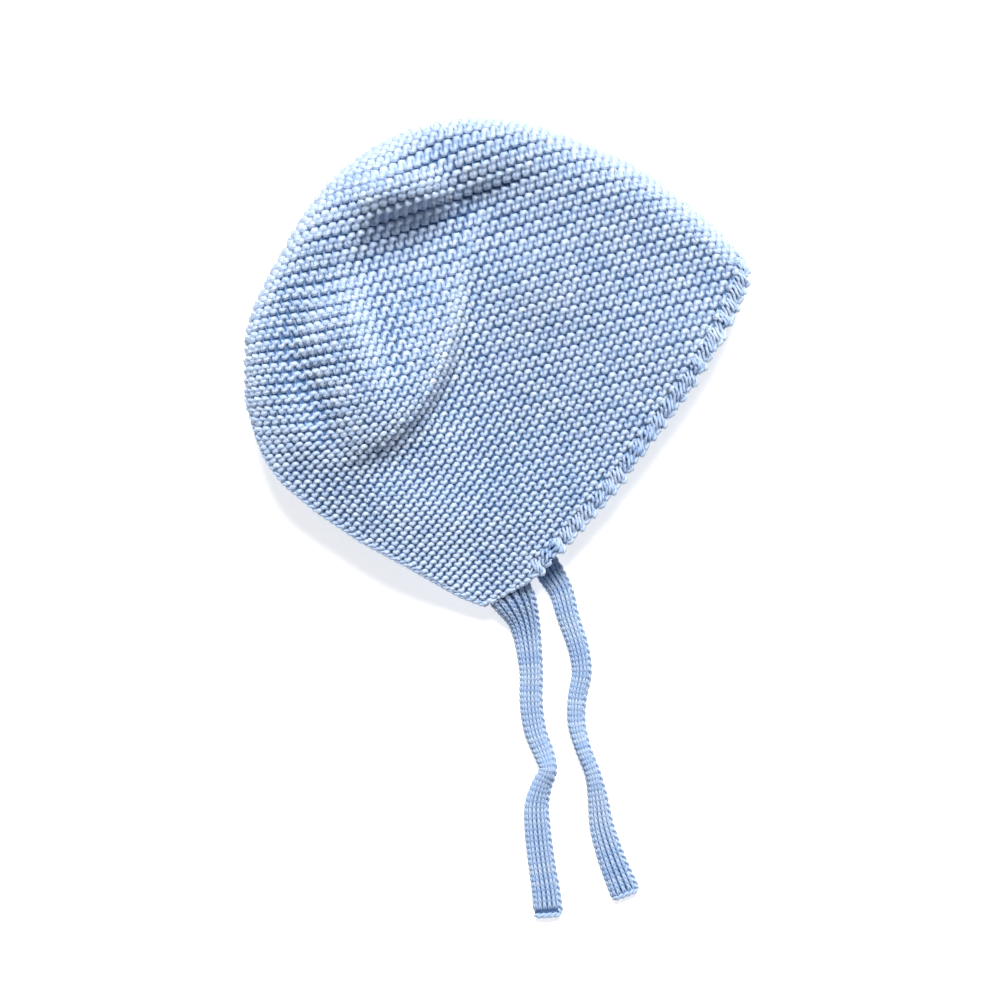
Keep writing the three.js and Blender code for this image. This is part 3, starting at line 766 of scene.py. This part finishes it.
def edging(side, sizes):
    """Face edging of one side: two rows of stitches picked up along it and a bound-off rim."""
    to_chin = np.vstack([FACE_EDGE, CHIN_EDGE[:1], CHIN_EDGE[:2].mean(axis=0)])
    line = dense(edge_line(to_chin, side), EDGE_STEP)
    line = line[rim_room(line) > -EDGE_PAST]
    along = unit(np.gradient(line, axis=0))
    away = -quarter(along)
    row = row_at(line)
    order = np.argsort(row)
    count = int((row.max() - row.min()) / EDGE_PACE) - 1
    rng = np.random.default_rng(EDGE_SEEDS[side])
    t = np.arange(count * EDGE_PARTS + 1) / EDGE_PARTS
    phase = 2 * math.pi * t
    jitter = spread(t, rng.normal(0, 1, count + 2))
    first = math.floor(row.max()) - 0.5
    strands, tones_and_shade = [], []
    for middle, reach, lean, swell, deep, rise, legs, scallop in EDGE_STRANDS:
        shift = swell * np.sin(2 * phase) - lean * np.cos(phase)
        v = first - EDGE_PACE * (t + shift + EDGE_STRAY["along"] * jitter)
        ridge = np.cos((v + 0.5) * math.pi)
        swing = reach * np.cos(phase) * (1 + EDGE_STRAY["out"] * jitter)
        out = middle - swing + scallop * ridge
        low = deep + rise * np.cos(legs * phase)
        low = low - EDGE_RIDGE * ridge + EDGE_STRAY["deep"] * jitter
        flat = along_line(v, row[order], line[order])
        turn = unit(along_line(v, row[order], away[order]))
        path, n = on_cloth(flat + turn * (out / SPAN)[:, None], side, low)
        thick = EDGE_THICK + EDGE_THICK_SWING * np.cos(2 * phase)
        strands.append(tube(path, n, sizes.yarn_width * thick))
        tone = EDGE_STRAY["tone"] * jitter + EDGE_TONE
        # Painted shade: the strand is darker where it dips deepest under the face.
        tones_and_shade.append(tone + EDGE_SHADE_SWING * np.cos(legs * phase + math.pi))
    return strands, tones_and_shade


def neck_cord(side, sizes):
    """Cast-on edge from the chin to the nape of one side."""
    flat = dense(edge_line(np.vstack([CHIN_EDGE[2:], NECK_EDGE]), side), CORD_STEP)
    flat = flat[rim_room(flat) > -CORD_PAST]
    flat = flat + quarter(unit(np.gradient(flat, axis=0))) * (-CORD_INSET / SPAN)
    line, n = on_cloth(flat, side, np.full(len(flat), CORD_DEPTH))
    return twisted(line, n, CORD_TURN, CORD_WIND, sizes.yarn_width * CORD_THICK)


def strap_path(table, count):
    """A tie's run, middle line, sideways direction and width, in metres."""
    t = np.linspace(0, 1, count)
    mm = table * 1000  # smooth_line merges places closer than 0.0001
    course = np.stack([mm[:, 0] * SPAN, mm[:, 1] * SPAN, mm[:, 3] * LOFT], -1)
    line = smooth_line(course, t) / 1000
    wide = smooth_line(np.stack([mm[:, 2] * SPAN, 0 * mm[:, 2]], -1), t)[:, 0] / 1000
    line[:, 2] = np.maximum(0, line[:, 2])
    run = run_of(line)
    line = line + SHIFT
    left = -quarter(np.gradient(line[:, :2], axis=0))
    left = left / np.linalg.norm(left, axis=1, keepdims=True)
    return run, line, left, wide


def on_strap(path, along, across, inset):
    """A place on the rounded back of a tie. across runs from 0 at the left edge to 1."""
    run, line, left, wide = path
    mid = along_line(along, run, line)
    side = unit(np.append(along_line(along, run, left), np.zeros((len(along), 1)), 1))
    half = np.interp(along, run, wide) / 2 - inset
    high = TIE_THICK - 2 * inset
    a = across * math.pi
    up = np.array([0.0, 0.0, 1.0])
    rise = inset + high * np.abs(np.sin(a)) ** 0.8
    p = mid + side * (half * np.cos(a))[:, None] + up * rise[:, None]
    steep = np.maximum(0.0, np.sin(a)) / high
    n = unit(side * (np.cos(a) / half)[:, None] + up * steep[:, None])
    return p, n


def tie_yarn(table, columns, sizes, seed):
    """Stockinette of a tie, an edge cord up its left side and its bound-off end."""
    path = strap_path(table, STRAP_PARTS)
    end = path[0][-1]
    radius = sizes.yarn_width * TIE_THICK_YARN
    rng = np.random.default_rng(seed)
    strands, tones_and_shade = [], []
    t = np.arange(columns * EDGE_PARTS + 1) / EDGE_PARTS
    phase = 2 * math.pi * t
    across = t + TIE_SWELL[0] * np.sin(2 * phase) + TIE_SWELL[1] * np.sin(phase)
    across = TIE_MARGIN + (1 - 2 * TIE_MARGIN) * np.clip(across / columns, 0, 1)
    lift = TIE_LIFT - TIE_SWING * np.cos(2 * phase)
    for j in range(int((end - TIE_SHORT) / TIE_PITCH)):
        along = (j + TIE_FIRST - np.cos(phase)) * TIE_PITCH
        p, n = on_strap(path, along, across, radius + TIE_SKIN)
        strands.append(tube(p + n * lift[:, None], n, radius))
        # Painted shade: each row is darker where its yarn dips into the tie.
        tones_and_shade.append(rng.normal(*TIE_TONE) - TIE_SHADE_SWING * np.cos(2 * phase))
    low, high = SIDE_CORD["ends"]
    along = np.linspace(low, end - high, SIDE_CORD_PARTS)
    across = np.full(SIDE_CORD_PARTS, SIDE_CORD["across"])
    p, n = on_strap(path, along, across, SIDE_CORD["inset"])
    cords = twisted(p, n, CORD_TURN, SIDE_CORD_WIND, radius * SIDE_CORD_THICK)
    along = np.full(END_CORD_PARTS, end - END_CORD["short"])
    across = np.linspace(END_CORD["margin"], 1 - END_CORD["margin"], END_CORD_PARTS)
    p, n = on_strap(path, along, across, END_CORD["inset"])
    cords += twisted(p, n, END_CORD_TURN, END_CORD_WIND, radius * END_CORD_THICK)
    return strands + cords, tones_and_shade + [np.zeros(len(cord)) for cord in cords]


def tie_core(table):
    """The closed strap inside a tie's yarn, whose dark blue is painted shade seen between the
    stitches.
    """
    _, line, left, wide = strap_path(table, CORE_PARTS)
    half = (wide / 2 - CORE_INSET)[:, None]
    ring = []
    for across, high in CORE_SECTION:
        z = np.full((len(line), 1), CORE_LIFT + (TIE_THICK - 2 * CORE_INSET) * high)
        ring.append(line + np.concatenate([left * half * across, z], 1))
    p = np.stack(ring, 1)
    p[0] = p[0].mean(axis=0)
    p[-1] = p[-1].mean(axis=0)
    return p


def settle(node, values):
    """Sets a node's inputs by their names."""
    for socket, value in values.items():
        node.inputs[socket].default_value = value


def object_noise(nodes, links, values):
    """A noise in the object's own coordinates."""
    noise = nodes.new("ShaderNodeTexNoise")
    settle(noise, values)
    coord = nodes.new("ShaderNodeTexCoord")
    links.new(coord.outputs["Object"], noise.inputs["Vector"])
    return noise


def maths(nodes, links, operation, *values):
    """Output of a new Math node, each of its inputs a number or another node's output."""
    node = nodes.new("ShaderNodeMath")
    node.operation = operation
    for socket, value in zip(node.inputs, values):
        if isinstance(value, (int, float)):
            socket.default_value = value
        else:
            links.new(value, socket)
    return node.outputs[0]


def ply_group():
    """Shader group of a yarn's twist and fuzz, from its length and round values."""
    g = bpy.data.node_groups.new("Yarn twist", "ShaderNodeTree")
    for name, value in (("Turns per metre", 600.0), ("Plies", 3.0), ("Fuzz scale", 2600.0)):
        s = g.interface.new_socket(name, in_out="INPUT", socket_type="NodeSocketFloat")
        s.default_value = value
    g.interface.new_socket("Height", in_out="OUTPUT", socket_type="NodeSocketFloat")
    g.interface.new_socket("Mask", in_out="OUTPUT", socket_type="NodeSocketFloat")
    nodes, links = g.nodes, g.links
    gi, go = nodes.new("NodeGroupInput"), nodes.new("NodeGroupOutput")
    run, around = nodes.new("ShaderNodeAttribute"), nodes.new("ShaderNodeAttribute")
    run.attribute_name, around.attribute_name = "length", "round"
    turns = maths(nodes, links, "MULTIPLY", run.outputs["Fac"], gi.outputs["Turns per metre"])
    plies = maths(nodes, links, "MULTIPLY", around.outputs["Fac"], gi.outputs["Plies"])
    turns = maths(nodes, links, "ADD", turns, plies)
    turns = maths(nodes, links, "MULTIPLY", turns, 2 * math.pi)
    wave = maths(nodes, links, "SINE", turns)
    wave = maths(nodes, links, "ABSOLUTE", wave)
    noise = object_noise(nodes, links, FUZZ_NOISE)
    links.new(gi.outputs["Fuzz scale"], noise.inputs["Scale"])
    height = maths(nodes, links, "MULTIPLY_ADD", noise.outputs["Fac"], FUZZ_HEIGHT, wave)
    links.new(height, go.inputs["Height"])
    links.new(noise.outputs["Fac"], go.inputs["Mask"])
    return g


def new_material(name, finish):
    """A material with the values of finish, and its nodes, links and shader."""
    m = bpy.data.materials.new(name)
    m.use_nodes = True
    nodes, links = m.node_tree.nodes, m.node_tree.links
    shader = nodes["Principled BSDF"]
    settle(shader, finish)
    return m, nodes, links, shader


def mixed(nodes, links, shader, factor, low, high):
    """Links a mix of two colours to the shader's base colour."""
    mix = nodes.new("ShaderNodeMix")
    mix.data_type = "RGBA"
    mix.inputs[6].default_value = (*low, 1)
    mix.inputs[7].default_value = (*high, 1)
    links.new(factor, mix.inputs["Factor"])
    links.new(mix.outputs[2], shader.inputs["Base Color"])


def bumped(nodes, links, shader, height, values):
    """Links a bump of some height to the shader's normal."""
    bump = nodes.new("ShaderNodeBump")
    settle(bump, values)
    links.new(height, bump.inputs["Height"])
    links.new(bump.outputs["Normal"], shader.inputs["Normal"])


def yarn_material(name, light, shade):
    """Matt cotton yarn: twisted plies, a little fuzz, lighter and darker stitches at random, and
    painted shade where the tone is low.
    """
    m, nodes, links, shader = new_material(name, YARN_FINISH)
    twist = nodes.new("ShaderNodeGroup")
    twist.node_tree = bpy.data.node_groups.get("Yarn twist") or ply_group()
    tone = nodes.new("ShaderNodeAttribute")
    tone.attribute_name = "tone"
    ramp = nodes.new("ShaderNodeMapRange")
    settle(ramp, {"From Min": -TONE_LIMIT, "From Max": TONE_LIMIT})
    links.new(tone.outputs["Fac"], ramp.inputs["Value"])
    mask = twist.outputs["Mask"]
    both = maths(nodes, links, "MULTIPLY_ADD", mask, TONE_FUZZ, ramp.outputs[0])
    both = maths(nodes, links, "SUBTRACT", both, TONE_FUZZ / 2)
    # Mixes the shaded and the light blue by the tone, which holds painted shade and a random
    # stray.
    mixed(nodes, links, shader, both, shade, light)
    bumped(nodes, links, shader, twist.outputs["Height"], YARN_BUMP)
    return m


def shade_cloth_material(name, light):
    """Painted shade of the yarn deep in the knitting: a dark blue, mottled at random."""
    m, nodes, links, shader = new_material(name, CLOTH_FINISH)
    noise = object_noise(nodes, links, CLOTH_NOISE)
    dark = [c * CLOTH_DARK for c in light]
    mixed(nodes, links, shader, noise.outputs["Fac"], dark, light)
    bumped(nodes, links, shader, noise.outputs["Fac"], CLOTH_BUMP)
    return m


def metres(name, text, value):
    """A length that the panel shows."""
    return FloatProperty(name=name, description=text, default=value, unit="LENGTH", precision=5)


def share(name, text, value):
    """A plain number that the panel shows."""
    return FloatProperty(name=name, description=text, default=value)


def colour(name, text, value):
    """A colour that the panel shows."""
    return FloatVectorProperty(
        name=name, description=text, subtype="COLOR", default=value, min=0, max=1
    )


class BonnetSizes(bpy.types.PropertyGroup):
    yarn_width: metres("Yarn width", "Thickness of the knitting yarn", 0.0017)
    loop_depth: metres("Loop depth", "How far a loop rises out of the cloth", 0.001)
    cloth_depth: metres("Cloth depth", "Thickness of the knitted cloth", 0.0034)
    loop_reach: share("Loop reach", "Half the height of a loop, in rows", 1.12)
    loop_tilt: share("Loop tilt", "How far a loop rises to its right, in rows", 0.3)
    row_opening: share("Row opening", "How far rows part in the valley, in rows", 0.26)
    loop_swell: share("Loop swell", "How far a loop bellies sideways, in stitches", 0.11)


class BonnetColours(bpy.types.PropertyGroup):
    yarn: colour("Yarn", "Light blue of the yarn", (0.66, 0.77, 0.93))
    # Painted shade: the darker blue that the tone mixes in where the yarn dips, also the dark end
    # of the random stray.
    shade: colour("Shaded yarn", "Darker blue of the yarn", (0.19, 0.37, 0.71))
    # Painted shade: the dark blue of the backing sheets and tie cores, seen between the stitches.
    deep: colour("Deep cloth", "Blue between the stitches", (0.1, 0.195, 0.38))
    floor: colour("Floor", "Pale floor", (0.93, 0.93, 0.93))


def yarn_of(context):
    """The yarn's material, made at its first use."""
    c = context.scene.bonnet_colours
    name = "Cotton yarn"
    return bpy.data.materials.get(name) or yarn_material(name, c.yarn, c.shade)


def shade_cloth_of(context):
    """The painted-shade material of the backing sheets and tie cores, made at its first use."""
    name = "Deep cloth"
    deep = context.scene.bonnet_colours.deep
    return bpy.data.materials.get(name) or shade_cloth_material(name, deep)


def weld(obj):
    """Joins a sheet's seam and its middle."""
    bm = bmesh.new()
    bm.from_mesh(obj.data)
    bmesh.ops.remove_doubles(bm, verts=bm.verts, dist=1e-6)
    bmesh.ops.dissolve_degenerate(bm, edges=bm.edges, dist=1e-7)
    bm.to_mesh(obj.data)
    bm.free()


def look_from(spot):
    """A light's place and turn so that it faces the origin."""
    z = spot / np.linalg.norm(spot)
    x = np.cross((0.0, 0.0, 1.0), z)
    x = x / np.linalg.norm(x)
    y = np.cross(z, x)
    m = Matrix.Identity(4)
    for i in range(3):
        m[i][0], m[i][1], m[i][2], m[i][3] = x[i], y[i], z[i], spot[i]
    return m


class BONNET_OT_knitting(bpy.types.Operator):
    """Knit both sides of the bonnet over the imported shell"""

    bl_idname = "bonnet.knitting"
    bl_label = "Knit the two sides"

    def execute(self, context):
        sizes = context.scene.bonnet_sizes
        for side, word, per_stitch in ((1, "near", 12), (-1, "far", 10)):
            strands, tones_and_shade = stitch_rows(side, per_stitch, sizes)
            if not strands:
                raise RuntimeError("no rows fit the " + word + " side")
            half = len(strands) // 2
            for label, part in (("lower", slice(half)), ("upper", slice(half, None))):
                name = word + "_side_" + label
                wrapped(name, strands[part], "shell", yarn_of(context), tones_and_shade[part])
            # The sheet behind the stitches gets the painted-shade cloth.
            base = wrapped(word + "_cloth", [shade_sheet_rings(side)], "shell", shade_cloth_of(context))
            weld(base)
        return {"FINISHED"}


class BONNET_OT_edges(bpy.types.Operator):
    """Work the face edging and the cast-on neck edge"""

    bl_idname = "bonnet.edges"
    bl_label = "Work the edges"

    def execute(self, context):
        sizes = context.scene.bonnet_sizes
        for side, word in ((1, "near"), (-1, "far")):
            strands, tones_and_shade = edging(side, sizes)
            wrapped("face_edging_" + word, strands, "face_band", yarn_of(context), tones_and_shade)
            wrapped("neck_edge_" + word, neck_cord(side, sizes), "shell", yarn_of(context))
        return {"FINISHED"}


class BONNET_OT_ties(bpy.types.Operator):
    """Knit the two chin ties"""

    bl_idname = "bonnet.ties"
    bl_label = "Knit the ties"

    def execute(self, context):
        sizes = context.scene.bonnet_sizes
        ties = (("tie_near", TIE_NEAR, 8, 21), ("tie_far", TIE_FAR, 7, 22))
        for name, table, columns, seed in ties:
            strands, tones_and_shade = tie_yarn(table, columns, sizes, seed)
            wrapped(name + "_knitting", strands, name, yarn_of(context), tones_and_shade)
            core = wrapped(name + "_core", [tie_core(table)], name, shade_cloth_of(context))
            weld(core)
        return {"FINISHED"}


class BONNET_OT_stage(bpy.types.Operator):
    """Set the floor, the soft light and the camera"""

    bl_idname = "bonnet.stage"
    bl_label = "Set the stage"

    def execute(self, context):
        scene = context.scene
        mesh = bpy.data.meshes.new("floor")
        bm = bmesh.new()
        bmesh.ops.create_grid(bm, x_segments=1, y_segments=1, size=FLOOR_HALF)
        bm.to_mesh(mesh)
        bm.free()
        floor = added("floor", mesh)
        material, _, _, shader = new_material("Floor", FLOOR_FINISH)
        settle(shader, {"Base Color": (*scene.bonnet_colours.floor, 1)})
        mesh.materials.append(material)
        key = bpy.data.lights.new("key", "SUN")
        key.angle = SUN_SPREAD
        key.energy = SUN_ENERGY
        level = math.cos(SUN_HEIGHT)
        spot = (math.cos(SUN_TURN) * level, math.sin(SUN_TURN) * level, math.sin(SUN_HEIGHT))
        added("key", key).matrix_world = look_from(np.array(spot))
        world = bpy.data.worlds.new("studio")
        world.use_nodes = True
        settle(world.node_tree.nodes["Background"], SKY)
        scene.world = world
        camera = bpy.data.cameras.new("camera")
        camera.lens = LENS
        camera.sensor_width = SENSOR
        camera.clip_end = CLIP_END
        scene.camera = added("camera", camera)
        scene.camera.location = EYE
        scene.view_settings.view_transform = "Standard"
        return {"FINISHED"}


class BONNET_PT_panel(bpy.types.Panel):
    """Steps and sizes of the knitted bonnet"""

    bl_label = "Knitted bonnet"
    bl_idname = "BONNET_PT_panel"
    bl_space_type = "VIEW_3D"
    bl_region_type = "UI"
    bl_category = "Bonnet"

    def draw(self, context):
        layout = self.layout
        for group in (context.scene.bonnet_sizes, context.scene.bonnet_colours):
            for key in group.bl_rna.properties.keys():
                if key not in ("rna_type", "name"):
                    layout.prop(group, key)
        for step in STEPS:
            layout.operator(step.bl_idname)


STEPS = (BONNET_OT_knitting, BONNET_OT_edges, BONNET_OT_ties, BONNET_OT_stage)
CLASSES = (BonnetSizes, BonnetColours, *STEPS, BONNET_PT_panel)


def register():
    for cls in CLASSES:
        bpy.utils.register_class(cls)
    bpy.types.Scene.bonnet_sizes = PointerProperty(type=BonnetSizes)
    bpy.types.Scene.bonnet_colours = PointerProperty(type=BonnetColours)


def unregister():
    del bpy.types.Scene.bonnet_sizes
    del bpy.types.Scene.bonnet_colours
    for cls in reversed(CLASSES):
        bpy.utils.unregister_class(cls)


def main():
    register()
    bpy.ops.bonnet.knitting()
    bpy.ops.bonnet.edges()
    bpy.ops.bonnet.ties()
    bpy.ops.bonnet.stage()


if __name__ == "__main__":
    main()
